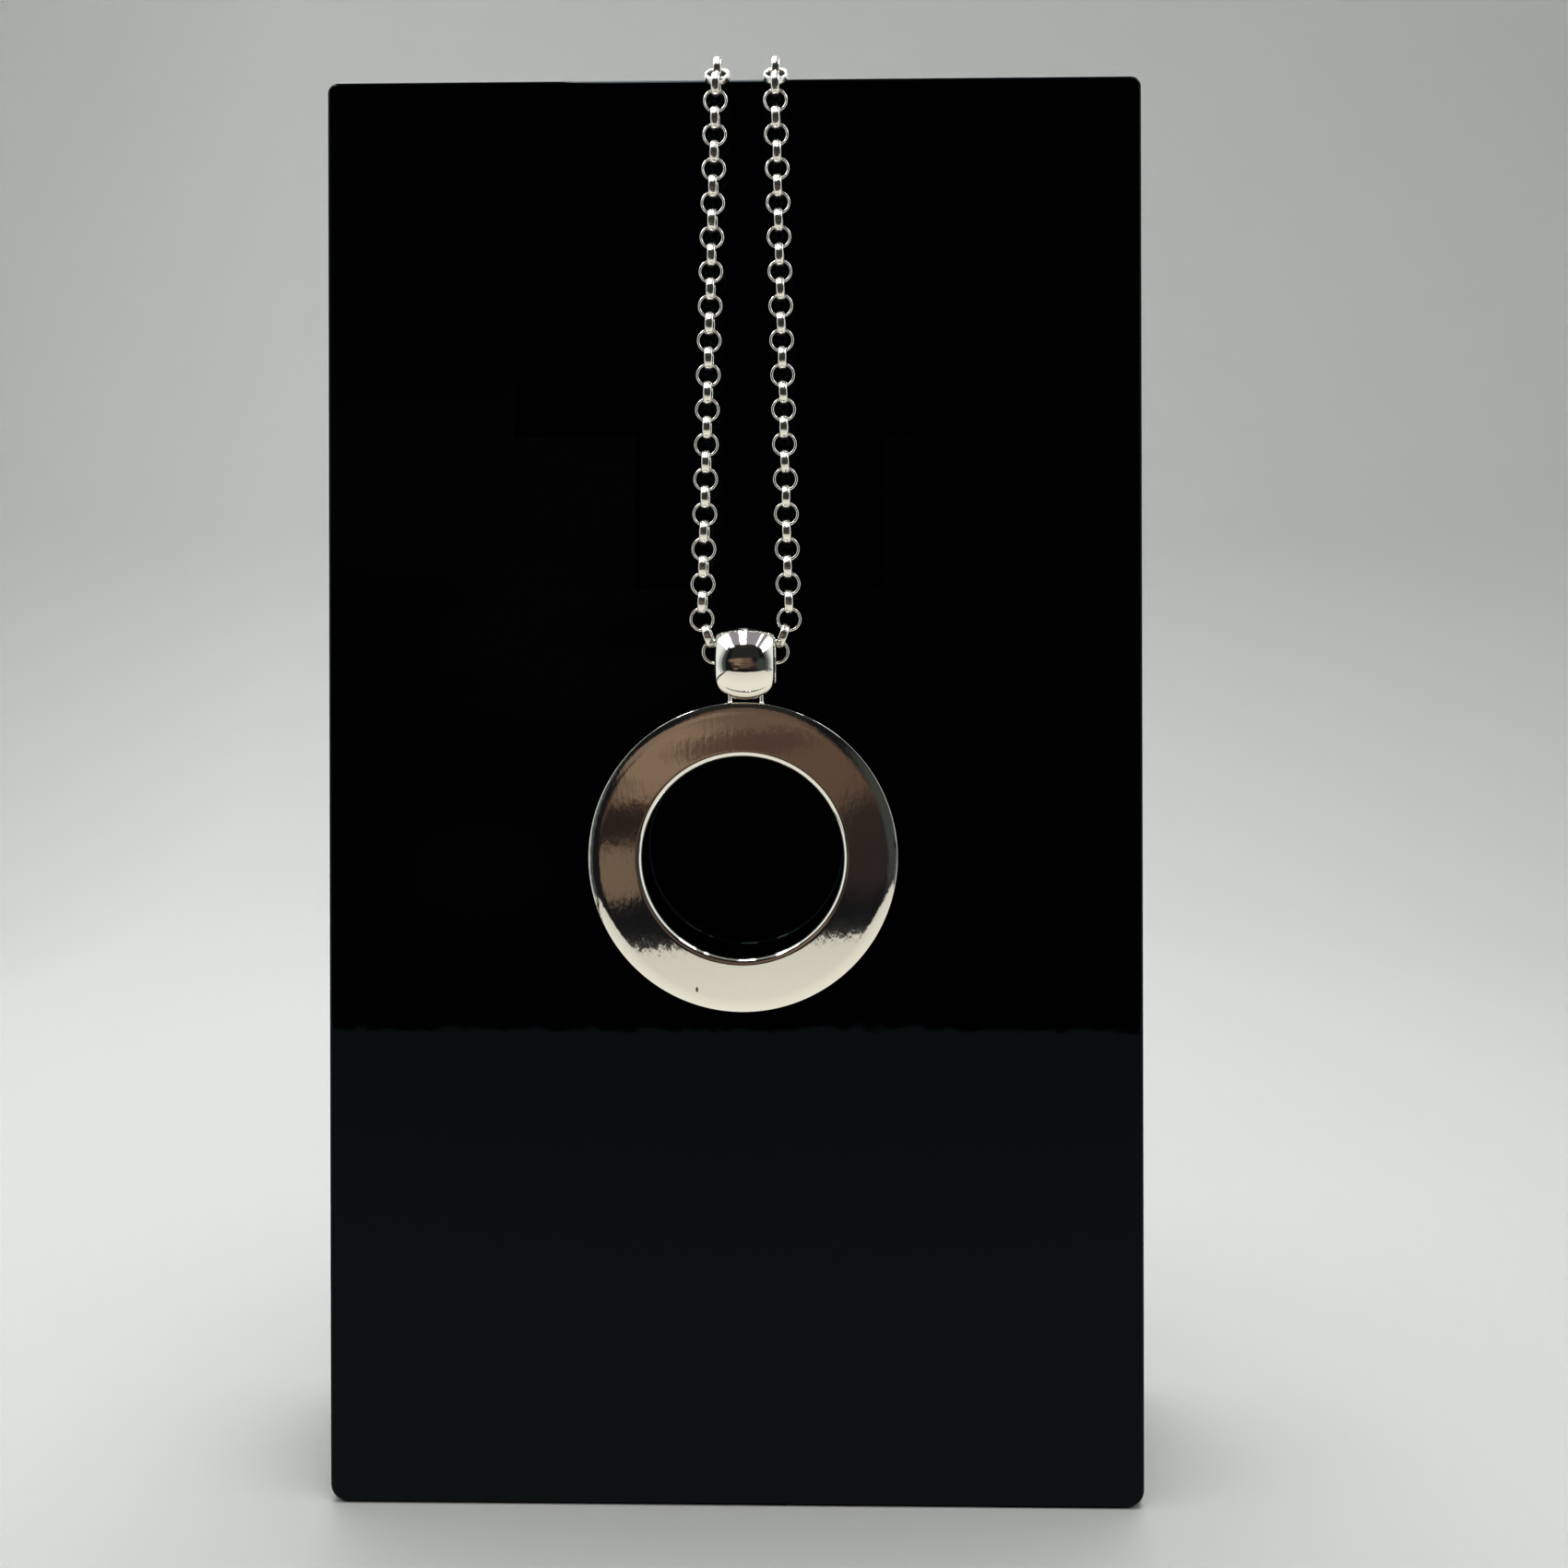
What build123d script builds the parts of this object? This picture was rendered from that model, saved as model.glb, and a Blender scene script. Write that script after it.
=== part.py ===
from build123d import *
from math import ceil, sqrt
import os

os.makedirs("parts", exist_ok=True)

# A polished silver open circle pendant on its chain, hung over a plain gloss black display block.
# Millimetres. The origin is the middle of the block's underside, +Z is up and the front faces -Y.
# The chain and the bail are the same on both sides of one upright plane, at X = pendant_x.

# Display block
block_width = 80.0
block_depth = 25.0
block_height = 140.0
block_edge_round = 1.0  # top corners and the rims of the front and back faces
block_foot_round = 1.8  # the two lower corners, seen from the front

# Where the necklace hangs
pendant_x = 1.36  # sideways from the middle of the block
chain_drop = 56.15  # from the block's top down to the chain's stretch inside the bail
bail_rest_gap = 0.15  # between the back of the bail and the block
chain_rest_gap = 0.1  # between the chain and the block
strand_spread_top = 5.74  # between the two strands where they cross the block's top
strand_spread_low = 8.3  # between them just above the bail
strand_foot_rise = 3.1  # from the stretch inside the bail up to the foot of a strand

# Chain of round belcher links, each a short wide hoop of flattened wire
link_outer = 2.44
link_thick = 0.3
link_width = 0.88
link_flat = 0.3  # how much of the wire's width is flat, before it is bevelled to its edge
link_play = 0.16  # slack between two links that are pulled tight
necklace_length = 406.4  # whole loop with its clasp, 16 inches
bail_link_inset = 0.18  # how far beyond the bail's end the first link's middle lies

# Clasp: a plain spring ring with an eye at each end
clasp_outer = 5.6
clasp_wire = 0.9
clasp_eye_bore = 1.6
clasp_eye_wire = 0.5
clasp_eye_bite = 0.35  # how far an eye is let into the ring that it is soldered to
clasp_eye_play = 0.14

# Bail: a barrel-shaped band round the chain that narrows to a strip at its foot
bail_outer = 7.1
bail_width = 5.64
bail_wall = 1.0  # at its middle, where it is thickest
bail_crown = 0.8  # how far the band falls from its middle to its two edges
bail_edge_round = 0.2
bail_play = 0.22  # between the bail and the chain that it hangs on
bail_chin_width = 3.3
bail_chin_rise = 0.3  # height above the bail's foot where its cheeks start to round out
bail_cheek_rise = 2.2  # height above the bail's foot where it has its full width
bail_cheek_bulge = 0.7  # how full the rounding is from chin to cheek
bail_strip_width = 2.3
bail_strip_length = 1.0
bail_notch_round = 1.21

# Open circle with the small loop soldered to its top
circle_outer = 29.7
circle_bore = 19.8
circle_thick = 2.2
circle_offset = -0.3  # of the circle's middle from the necklace's middle plane
circle_roll = 1.0  # how far the outer edge rolls in before the face starts
circle_roll_depth = 0.65  # how far it rolls back from the face
circle_dome_radius = 150.0  # of both faces, which are slightly domed about the circle's axis
circle_bore_round = 0.4
circle_gap = 0.17  # between the foot of the bail and the top of the circle
loop_wire = 0.4
loop_side_play = 0.14
loop_play = 0.28  # between the loop's bar and the strip of the bail under it
loop_corner = 0.45
loop_root = 0.5  # how deep the loop's feet go into the circle

# Places that follow from the sizes
link_bore_radius = link_outer / 2 - link_thick
link_pitch = 2 * link_bore_radius - link_play
chain_stand_off = link_outer / 2 + chain_rest_gap
chain_z = block_height - chain_drop
pendant_y = -(block_depth / 2 + bail_rest_gap + bail_outer / 2)
bail_bore_radius = bail_outer / 2 - bail_wall
bail_z = chain_z + link_outer / 2 + bail_play - bail_bore_radius
bail_foot_z = bail_z - bail_outer / 2
circle_z = bail_foot_z - circle_gap - circle_outer / 2
strip_z = bail_foot_z + bail_wall / 2


def make_display_block():
    block = Box(block_width, block_depth, block_height, align=(Align.CENTER, Align.CENTER, Align.MIN))
    corners = block.edges().filter_by(Axis.Y).sort_by(Axis.Z)
    block = fillet(corners[:2], block_foot_round)
    corners = block.edges().filter_by(Axis.Y).sort_by(Axis.Z)
    block = fillet(corners[-2:], block_edge_round)
    faces = block.faces().sort_by(Axis.Y)
    rims = faces[0].edges() + faces[-1].edges()
    return fillet(rims, block_edge_round)


def make_link():
    """One link round the Z axis, its six-sided wire bevelled from the two broad faces to the edges."""
    middle = (link_outer - link_thick) / 2
    half = link_width / 2
    flat = link_flat / 2
    section = Polyline(
        (link_bore_radius, 0, -flat),
        (link_bore_radius, 0, flat),
        (middle, 0, half),
        (link_outer / 2, 0, flat),
        (link_outer / 2, 0, -flat),
        (middle, 0, -half),
        close=True,
    )
    return revolve(make_face(section), axis=Axis.Z)


def even_count(distance):
    return 2 * ceil(distance / (2 * link_pitch))


def half_route():
    """Corners of half the loop, from the bail's middle outwards, each with the links up to it.

    X is counted from the necklace's middle plane. A corner's link lies in the plane of its bend.
    """
    front = -(block_depth / 2 + chain_stand_off)
    top = block_height + chain_stand_off
    corner_cut = 2 * link_pitch / sqrt(2)
    narrow = -strand_spread_top / 2
    middle = Vector(0, pendant_y, chain_z)
    mouth = Vector(-(bail_width / 2 + bail_link_inset), pendant_y, chain_z)
    foot = Vector(-strand_spread_low / 2, pendant_y, chain_z + strand_foot_rise)
    front_edge = Vector(narrow, front, top - corner_cut)
    top_front = Vector(narrow, front + corner_cut, top)
    top_back = Vector(narrow, -front - corner_cut, top)
    back_edge = Vector(narrow, -front, top - corner_cut)
    strand_links = even_count((front_edge - foot).length - link_pitch) + 1
    route = [
        (middle, 0),
        (mouth, 2),
        (foot, 2),
        (front_edge, strand_links),
        (top_front, 2),
        (top_back, even_count((top_back - top_front).length)),
        (back_edge, 2),
    ]
    used = sum((b[0] - a[0]).length for a, b in zip(route, route[1:]))
    hanging = necklace_length / 2 - used - clasp_half - eye_pitch
    back_links = 2 * round(hanging / (2 * link_pitch))
    slant = narrow + clasp_half
    drop = sqrt((back_links * link_pitch + eye_pitch) ** 2 - slant**2)
    eye = Vector(-clasp_half, -front, back_edge.Z - drop)
    last_link = eye + (back_edge - eye).normalized() * eye_pitch
    route.append((last_link, back_links))
    return route, eye


def turned(across, old_way, new_way):
    """The direction across the chain, carried round a corner without a twist."""
    bend = old_way.cross(new_way)
    if bend.length < 1e-9:
        return across
    return across.rotate(Axis((0, 0, 0), bend), old_way.get_angle(new_way))


def half_links(route):
    """Middle and axis of each link of half the loop after the one in the bail's middle."""
    places = []
    across = Vector(0, 1, 0)
    way = Vector(-1, 0, 0)
    for (start, _), (end, count) in zip(route, route[1:]):
        new_way = (end - start).normalized()
        across = turned(across, way, new_way)
        way = new_way
        for step in range(1, count + 1):
            stands_out = len(places) % 2 == 0
            axis = way.cross(across) if stands_out else across
            places.append((start + (end - start) * (step / count), axis))
    return places


def make_chain(route):
    link = make_link()
    middle = route[0][0]
    links = [Plane((pendant_x, middle.Y, middle.Z), z_dir=(0, 1, 0)).location * link]
    for centre, axis in half_links(route):
        for side in (1, -1):
            origin = (pendant_x + side * centre.X, centre.Y, centre.Z)
            place = Plane(origin, z_dir=(side * axis.X, axis.Y, axis.Z))
            links.append(place.location * link)
    return links


def make_clasp(eye):
    ring_radius = (clasp_outer - clasp_wire) / 2
    eye_radius = (clasp_eye_bore + clasp_eye_wire) / 2
    clasp = Torus(ring_radius, clasp_wire / 2)
    for side in (-1, 1):
        clasp += Pos(side * clasp_half, 0, 0) * Torus(eye_radius, clasp_eye_wire / 2)
    return Pos(pendant_x, eye.Y, eye.Z) * Rot(90, 0, 0) * clasp


def make_bail():
    """The band about its own axis along X, cut to its front outline and to the strip at its foot."""
    half = bail_width / 2
    outer = bail_outer / 2
    edge = outer - bail_crown
    section = make_face(
        [
            Line((-half, bail_bore_radius), (half, bail_bore_radius)),
            Line((half, bail_bore_radius), (half, edge)),
            ThreePointArc((half, edge), (0, outer), (-half, edge)),
            Line((-half, edge), (-half, bail_bore_radius)),
        ]
    )
    section = fillet(section.vertices().group_by(Axis.Y)[-1], bail_edge_round)
    band = revolve(section, axis=Axis.X)

    chin = bail_chin_width / 2
    chin_z = bail_chin_rise - outer
    cheek_z = bail_cheek_rise - outer
    bulge = (
        chin + (half - chin) * bail_cheek_bulge,
        cheek_z - (cheek_z - chin_z) * bail_cheek_bulge,
    )
    outline = Plane.XZ * make_face(
        [
            Line((0, -outer), (chin, -outer)),
            Line((chin, -outer), (chin, chin_z)),
            ThreePointArc((chin, chin_z), bulge, (half, cheek_z)),
            Line((half, cheek_z), (half, outer)),
            Line((half, outer), (0, outer)),
            Line((0, outer), (0, -outer)),
        ]
    )
    outline = outline + mirror(outline, about=Plane.YZ)
    band = band & extrude(outline, amount=outer, both=True)

    notch_length = bail_strip_length + 2 * bail_notch_round
    notch_top = -sqrt(bail_bore_radius**2 - (notch_length / 2) ** 2) + bail_wall / 2
    for side in (-1, 1):
        notch_x = side * (bail_strip_width / 2 + bail_notch_round)
        notch = Pos(notch_x, 0, -outer) * SlotOverall(notch_length, 2 * bail_notch_round, rotation=90)
        band -= extrude(notch, amount=notch_top + outer)
    return Pos(pendant_x, pendant_y, bail_z) * band


def make_open_circle():
    """The slightly domed circle about Y, with the loop that its bail hangs it by."""
    bore = circle_bore / 2
    outer = circle_outer / 2
    face = circle_thick / 2
    rolled = outer - circle_roll
    wall = face - circle_bore_round
    lip = bore + circle_bore_round
    edge = face - (rolled**2 - lip**2) / (2 * circle_dome_radius)
    side = edge - circle_roll_depth
    section = make_face(
        [
            Line((bore, 0), (bore, wall)),
            RadiusArc((bore, wall), (lip, face), circle_bore_round),
            RadiusArc((lip, face), (rolled, edge), circle_dome_radius),
            EllipticalCenterArc((rolled, side), circle_roll, circle_roll_depth, arc_size=90),
            Line((outer, side), (outer, 0)),
            Line((outer, 0), (bore, 0)),
        ]
    )
    section += mirror(section, about=Plane.XZ)
    circle = Pos(circle_offset, 0, 0) * revolve(section, axis=Axis.Y)

    leg_x = bail_strip_width / 2 + loop_side_play + loop_wire / 2
    bar_z = outer + circle_gap + bail_wall + loop_play + loop_wire / 2
    root_z = sqrt(outer**2 - (leg_x + abs(circle_offset)) ** 2) - loop_root
    path = FilletPolyline(
        (-leg_x, 0, root_z),
        (-leg_x, 0, bar_z),
        (leg_x, 0, bar_z),
        (leg_x, 0, root_z),
        radius=loop_corner,
    )
    wire = Plane(path @ 0, z_dir=path % 0) * Circle(loop_wire / 2)
    circle += sweep(wire, path=path)
    return Pos(pendant_x, pendant_y, circle_z) * circle


# The clasp's reach to the middle of an eye, and the step from there to the chain's last link
clasp_half = clasp_outer / 2 + clasp_eye_wire + clasp_eye_bore / 2 - clasp_eye_bite
eye_pitch = clasp_eye_bore / 2 + link_bore_radius - clasp_eye_play

loop_route, clasp_eye = half_route()
chain_links = make_chain(loop_route)

export_step(make_display_block(), "parts/display_block.step")
export_step(Compound(chain_links), "parts/chain.step")
export_step(make_clasp(clasp_eye), "parts/clasp.step")
export_step(make_bail(), "parts/bail.step")
export_step(make_open_circle(), "parts/open_circle.step")

print("links", len(chain_links), "clasp height", round(clasp_eye.Z, 2))
print("links by run", [count for _, count in loop_route])
print("bail hinge y, z", round(pendant_y, 3), round(chain_z, 3))
print("circle hinge y, z", round(pendant_y, 3), round(strip_z, 3))
print("circle middle z", round(circle_z, 3))
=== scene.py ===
# %% [markdown]
# # An open circle pendant, hung over a gloss black block
#
# The jewel is small and polished like a mirror. Almost nothing on it has a colour of its own: what we see is
# the room around it. So this lesson has two halves. First every piece gets a true and very smooth shape,
# because a mirror shows each flat facet. Then we build the little white tent that the silver reflects.
#
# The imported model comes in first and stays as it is. Each piece below is made around it, in metres.

# %% The frame and the tools
import math
import random

import bmesh
import bpy
import numpy as np
from mathutils import Matrix, Vector


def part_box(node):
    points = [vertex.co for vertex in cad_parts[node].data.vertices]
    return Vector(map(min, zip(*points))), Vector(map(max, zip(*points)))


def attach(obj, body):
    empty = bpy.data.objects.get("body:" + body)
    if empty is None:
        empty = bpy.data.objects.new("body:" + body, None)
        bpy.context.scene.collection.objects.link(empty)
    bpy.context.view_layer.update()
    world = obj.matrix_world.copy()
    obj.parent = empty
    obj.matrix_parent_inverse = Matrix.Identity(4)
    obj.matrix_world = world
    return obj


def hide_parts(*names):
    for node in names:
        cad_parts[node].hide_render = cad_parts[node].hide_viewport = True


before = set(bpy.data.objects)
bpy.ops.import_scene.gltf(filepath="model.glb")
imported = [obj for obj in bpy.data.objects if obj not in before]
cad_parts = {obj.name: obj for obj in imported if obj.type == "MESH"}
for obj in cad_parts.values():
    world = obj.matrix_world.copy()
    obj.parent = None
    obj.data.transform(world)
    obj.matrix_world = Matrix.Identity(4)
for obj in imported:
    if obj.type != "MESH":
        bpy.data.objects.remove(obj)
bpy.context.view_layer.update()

MM = 0.001

# %% [markdown]
# ## Where things are
#
# The frame knows the place and the overall size of each node, so those are read and not typed again. Only
# the middle plane of the necklace, the bail's axis and the circle's axis are needed later on.

# %% Places read from the frame
block_low, block_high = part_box("display_block")
bail_low, bail_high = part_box("bail")
circle_low, circle_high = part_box("open_circle")
clasp_low, clasp_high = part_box("clasp")

pendant_x = (bail_low.x + bail_high.x) / 2
bail_outer = (bail_high.y - bail_low.y) / 2
bail_middle = Vector((pendant_x, (bail_low.y + bail_high.y) / 2, (bail_low.z + bail_high.z) / 2))
circle_outer = (circle_high.x - circle_low.x) / 2
circle_x = (circle_low.x + circle_high.x) / 2
circle_middle = Vector((circle_x, (circle_low.y + circle_high.y) / 2, circle_low.z + circle_outer))
print("bail middle", [round(v / MM, 2) for v in bail_middle])
print("circle middle", [round(v / MM, 2) for v in circle_middle], "radius", round(circle_outer / MM, 2))

# %% [markdown]
# ## One helper for every turned or bent piece
#
# A ring, a band and a rounded block are all the same idea: a closed outline that is carried along a path.
# Written as a grid of points, one row for each step along the path, such a piece needs only one function
# to become a mesh. The alternative is a modifier stack (Screw, Bevel, Subdivision), but a grid lets us
# put the points exactly where the curvature is, which keeps reflections clean.

# %% A smooth mesh from a grid of points
def new_piece(name, points, faces):
    """A smooth-shaded object from points in metres and faces, with its normals outwards."""
    mesh = bpy.data.meshes.new(name)
    mesh.from_pydata([tuple(p) for p in points], [], faces)
    work = bmesh.new()
    work.from_mesh(mesh)
    bmesh.ops.remove_doubles(work, verts=work.verts, dist=1e-7)
    bmesh.ops.recalc_face_normals(work, faces=work.faces)
    work.to_mesh(mesh)
    work.free()
    mesh.shade_smooth()
    piece = bpy.data.objects.new(name, mesh)
    bpy.context.scene.collection.objects.link(piece)
    return piece


def grid_faces(rows, columns, first=0, close_rows=True, close_columns=True):
    """The quads of a grid whose points are numbered row by row from first."""
    last_row = rows if close_rows else rows - 1
    last_column = columns if close_columns else columns - 1
    faces = []
    for row in range(last_row):
        for column in range(last_column):
            next_row = (row + 1) % rows
            next_column = (column + 1) % columns
            faces.append((
                first + row * columns + column,
                first + row * columns + next_column,
                first + next_row * columns + next_column,
                first + next_row * columns + column,
            ))
    return faces


def report(piece):
    """Prints how many triangles a piece has."""
    triangles = sum(len(face.vertices) - 2 for face in piece.data.polygons)
    print(piece.name, "has", triangles, "triangles")


# %% [markdown]
# ## Polished silver
#
# Silver reflects nearly everything and tints it a very little towards yellow. A metallic Principled shader
# with a low roughness gives that. A perfectly clean mirror looks like plastic chrome, though, so the finish
# gets what a polishing wheel leaves: faint waves and hair-fine scratches, made with stretched noise that
# feeds a weak bump. The noise reads object coordinates, so the marks stay on the metal when it moves.

# %% A new material
def new_material(name):
    """A material with its Principled shader, and the tree that they are in."""
    material = bpy.data.materials.new(name)
    material.use_nodes = True
    tree = material.node_tree
    shader = next(node for node in tree.nodes if node.type == "BSDF_PRINCIPLED")
    return material, tree, shader


# %% Stretched noise and the bump that it feeds
def stretched_noise(tree, stretch, scale, detail=2.0):
    """Noise in object coordinates, in marks per millimetre, squeezed along each axis by stretch."""
    place = tree.nodes.new("ShaderNodeTexCoord")
    mapping = tree.nodes.new("ShaderNodeMapping")
    mapping.inputs["Scale"].default_value = stretch
    noise = tree.nodes.new("ShaderNodeTexNoise")
    noise.inputs["Scale"].default_value = scale / MM
    noise.inputs["Detail"].default_value = detail
    tree.links.new(place.outputs["Object"], mapping.inputs["Vector"])
    tree.links.new(mapping.outputs["Vector"], noise.inputs["Vector"])
    return noise


def add_bump(tree, height, distance, strength=1.0, under=None):
    """A bump node for a height from 0 to 1 that stands for distance in metres."""
    bump = tree.nodes.new("ShaderNodeBump")
    bump.inputs["Strength"].default_value = strength
    bump.inputs["Distance"].default_value = distance
    tree.links.new(height, bump.inputs["Height"])
    if under is not None:
        tree.links.new(under.outputs["Normal"], bump.inputs["Normal"])
    return bump


# %% The silver of the bail, the clasp and the loop
SILVER = (0.955, 0.945, 0.915, 1.0)


def make_polished_silver():
    material, tree, shader = new_material("polished_silver")
    shader.inputs["Base Color"].default_value = SILVER
    shader.inputs["Metallic"].default_value = 1.0
    shader.inputs["Roughness"].default_value = 0.06
    waves = stretched_noise(tree, (1, 1, 1), 0.9)
    scratches = stretched_noise(tree, (1.0, 1.0, 0.25), 9.0)
    soft = add_bump(tree, waves.outputs["Fac"], 0.006 * MM)
    fine = add_bump(tree, scratches.outputs["Fac"], 0.0006 * MM, under=soft)
    tree.links.new(fine.outputs["Normal"], shader.inputs["Normal"])
    return material


polished_silver = make_polished_silver()
print("made", polished_silver.name)

# %% [markdown]
# ## Tumbled silver for the chain
#
# A machine-made chain is not polished link by link. It is tumbled in a drum with steel shot, which leaves
# tiny dents all over. So its shine is softer, and each link gathers light from all round the tent.

# %% The silver of the chain
def make_tumbled_silver():
    material, tree, shader = new_material("tumbled_silver")
    shader.inputs["Base Color"].default_value = SILVER
    shader.inputs["Metallic"].default_value = 1.0
    shader.inputs["Roughness"].default_value = 0.2
    dents = stretched_noise(tree, (1, 1, 1), 3.0, detail=3.0)
    soft = add_bump(tree, dents.outputs["Fac"], 0.026 * MM)
    tree.links.new(soft.outputs["Normal"], shader.inputs["Normal"])
    return material


tumbled_silver = make_tumbled_silver()
print("made", tumbled_silver.name)

# %% [markdown]
# ## The hand-rubbed face of the circle
#
# The broad face was rubbed up and down before it was polished. The lines run upright, so they spread a
# reflection sideways and give the edge of the white floor, where the face mirrors it, ragged upright teeth.
# The lip of the hole is burnished with a steel instead, so the marks fade away towards it. One tiny pit of
# the casting is left in the lower face. It has no hollow in the shape: its shade is painted brown into the
# silver's colour.

# %% Where the face is rubbed and where the pit's shade is painted
rub_start = 10.1 * MM
rub_full = 10.4 * MM
pit_place = (circle_middle.x - 4.37 * MM, circle_low.y, circle_middle.z - 12.4 * MM)
pit_reach = (0.15 * MM, 1.0 * MM, 0.3 * MM)
PIT_SHADE_BROWN = (0.09, 0.075, 0.05, 1.0)
print("the face is rubbed beyond a radius of", round(rub_start / MM, 2), "mm")
print("the pit lies at", [round(v / MM, 2) for v in pit_place])

# %% How much of a mark each place gets
def face_share(tree):
    """A value that is 0 on the lip of the hole and 1 on the face, from the distance to the circle's axis."""
    place = tree.nodes.new("ShaderNodeTexCoord")
    flat = tree.nodes.new("ShaderNodeVectorMath")
    flat.operation = "MULTIPLY_ADD"
    flat.inputs[1].default_value = (1.0, 0.0, 1.0)
    flat.inputs[2].default_value = (-circle_middle.x, 0.0, -circle_middle.z)
    reach = tree.nodes.new("ShaderNodeVectorMath")
    reach.operation = "LENGTH"
    share = tree.nodes.new("ShaderNodeMapRange")
    share.inputs["From Min"].default_value = rub_start
    share.inputs["From Max"].default_value = rub_full
    tree.links.new(place.outputs["Object"], flat.inputs[0])
    tree.links.new(flat.outputs["Vector"], reach.inputs[0])
    tree.links.new(reach.outputs["Value"], share.inputs["Value"])
    return share.outputs["Result"]


def pit_shade_share(tree):
    """A value that is 0 in the pit's painted shade and 1 outside it. The pit is twice as high as it is wide.
    """
    place = tree.nodes.new("ShaderNodeTexCoord")
    mapping = tree.nodes.new("ShaderNodeMapping")
    mapping.vector_type = "TEXTURE"
    mapping.inputs["Location"].default_value = pit_place
    mapping.inputs["Scale"].default_value = pit_reach
    reach = tree.nodes.new("ShaderNodeVectorMath")
    reach.operation = "LENGTH"
    share = tree.nodes.new("ShaderNodeMapRange")
    share.inputs["From Min"].default_value = 0.7
    share.inputs["From Max"].default_value = 1.0
    tree.links.new(place.outputs["Object"], mapping.inputs["Vector"])
    tree.links.new(mapping.outputs["Vector"], reach.inputs[0])
    tree.links.new(reach.outputs["Value"], share.inputs["Value"])
    return share.outputs["Result"]


# %% The silver of the open circle
def make_rubbed_silver():
    material, tree, shader = new_material("rubbed_silver")
    shader.inputs["Base Color"].default_value = SILVER
    shader.inputs["Metallic"].default_value = 1.0
    shader.inputs["Roughness"].default_value = 0.06
    waves = stretched_noise(tree, (1.0, 1.0, 0.6), 0.25)
    lines = stretched_noise(tree, (1.0, 1.0, 0.08), 5.0, detail=3.0)
    teeth = stretched_noise(tree, (1.0, 1.0, 0.35), 2.2)
    soft = add_bump(tree, waves.outputs["Fac"], 0.008 * MM)
    rough = add_bump(tree, teeth.outputs["Fac"], 0.011 * MM, under=soft)
    fine = add_bump(tree, lines.outputs["Fac"], 0.0022 * MM, under=rough)
    face = face_share(tree)
    for marks in (rough, fine):
        tree.links.new(face, marks.inputs["Strength"])
    # The pit is not cut into the circle: its shade is painted as brown mixed into the silver's colour.
    metal = tree.nodes.new("ShaderNodeMix")
    metal.data_type = "RGBA"
    metal.inputs["A"].default_value = PIT_SHADE_BROWN
    metal.inputs["B"].default_value = SILVER
    tree.links.new(pit_shade_share(tree), metal.inputs["Factor"])
    tree.links.new(metal.outputs["Result"], shader.inputs["Base Color"])
    tree.links.new(fine.outputs["Normal"], shader.inputs["Normal"])
    return material


rubbed_silver = make_rubbed_silver()
print("made", rubbed_silver.name)

# %% [markdown]
# ## Deep black lacquer
#
# The block is plain board under many coats of black gloss. Its own colour is almost nothing, and it mirrors
# well under one part in a hundred of what stands before it, with a cool tint. A sprayed coat is never quite
# flat, so a broad and very shallow wave bends the mirrored edges a little.

# %% The lacquer of the block
LACQUER_BLACK = (0.0002, 0.0003, 0.0004, 1.0)
LACQUER_TINT = (0.56, 0.82, 1.0, 1.0)


def make_black_lacquer():
    material, tree, shader = new_material("black_lacquer")
    shader.inputs["Base Color"].default_value = LACQUER_BLACK
    shader.inputs["Roughness"].default_value = 0.03
    shader.inputs["Specular IOR Level"].default_value = 0.1
    shader.inputs["Specular Tint"].default_value = LACQUER_TINT
    coat_waves = stretched_noise(tree, (1, 1, 1), 0.25)
    soft = add_bump(tree, coat_waves.outputs["Fac"], 0.01 * MM)
    tree.links.new(soft.outputs["Normal"], shader.inputs["Normal"])
    return material


black_lacquer = make_black_lacquer()
print("made", black_lacquer.name)

# %% [markdown]
# ## The display block
#
# A box with its edges rounded by sanding. The front outline is a rectangle with small corners, a bit larger
# at the foot. It is carried from front to back: first it grows along a quarter circle, runs straight, and
# shrinks again. An extra outline just inside each flat keeps the shading of the big faces perfectly flat,
# which a mirror finish needs.

# %% The block's outline and its steps from front to back
block_edge_round = 1.0 * MM
block_foot_round = 1.8 * MM
block_rim_round = 0.4 * MM
support = 0.08 * MM
corner_steps = 10
rim_steps = 10


def block_outline(inset):
    """The front outline as (x, z) points, moved inwards by inset."""
    corners = (
        (1, -1, block_foot_round, -90),
        (1, 1, block_edge_round, 0),
        (-1, 1, block_edge_round, 90),
        (-1, -1, block_foot_round, 180),
    )
    points = []
    for side, up, corner_round, start in corners:
        radius = max(corner_round - inset, 0.0)
        edge_x = side * (block_high.x - inset)
        edge_z = block_high.z - inset if up > 0 else block_low.z + inset
        middle_x = edge_x - side * radius
        middle_z = edge_z - up * radius
        angles = [math.radians(start + 90 * step / corner_steps) for step in range(corner_steps + 1)]
        arc = [(middle_x + radius * math.cos(a), middle_z + radius * math.sin(a)) for a in angles]
        before = (arc[0][0] + support * math.sin(angles[0]), arc[0][1] - support * math.cos(angles[0]))
        after = (arc[-1][0] - support * math.sin(angles[-1]), arc[-1][1] + support * math.cos(angles[-1]))
        points += [before, *arc, after]
    return points


def block_steps():
    """(inset, y) of each outline from front to back, closed by the two supports of the flats."""
    quarter = [math.radians(90 * step / rim_steps) for step in range(rim_steps + 1)]
    front = [(block_rim_round * (1 - math.sin(a)), block_rim_round * (1 - math.cos(a))) for a in quarter]
    steps = [(block_rim_round + support, 0.0), *front, (0.0, block_rim_round + support)]
    near = [(inset, block_low.y + depth) for inset, depth in steps]
    far = [(inset, block_high.y - depth) for inset, depth in reversed(steps)]
    return near + far


print("block outline has", len(block_outline(0.0)), "points, carried over", len(block_steps()), "steps")

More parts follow.
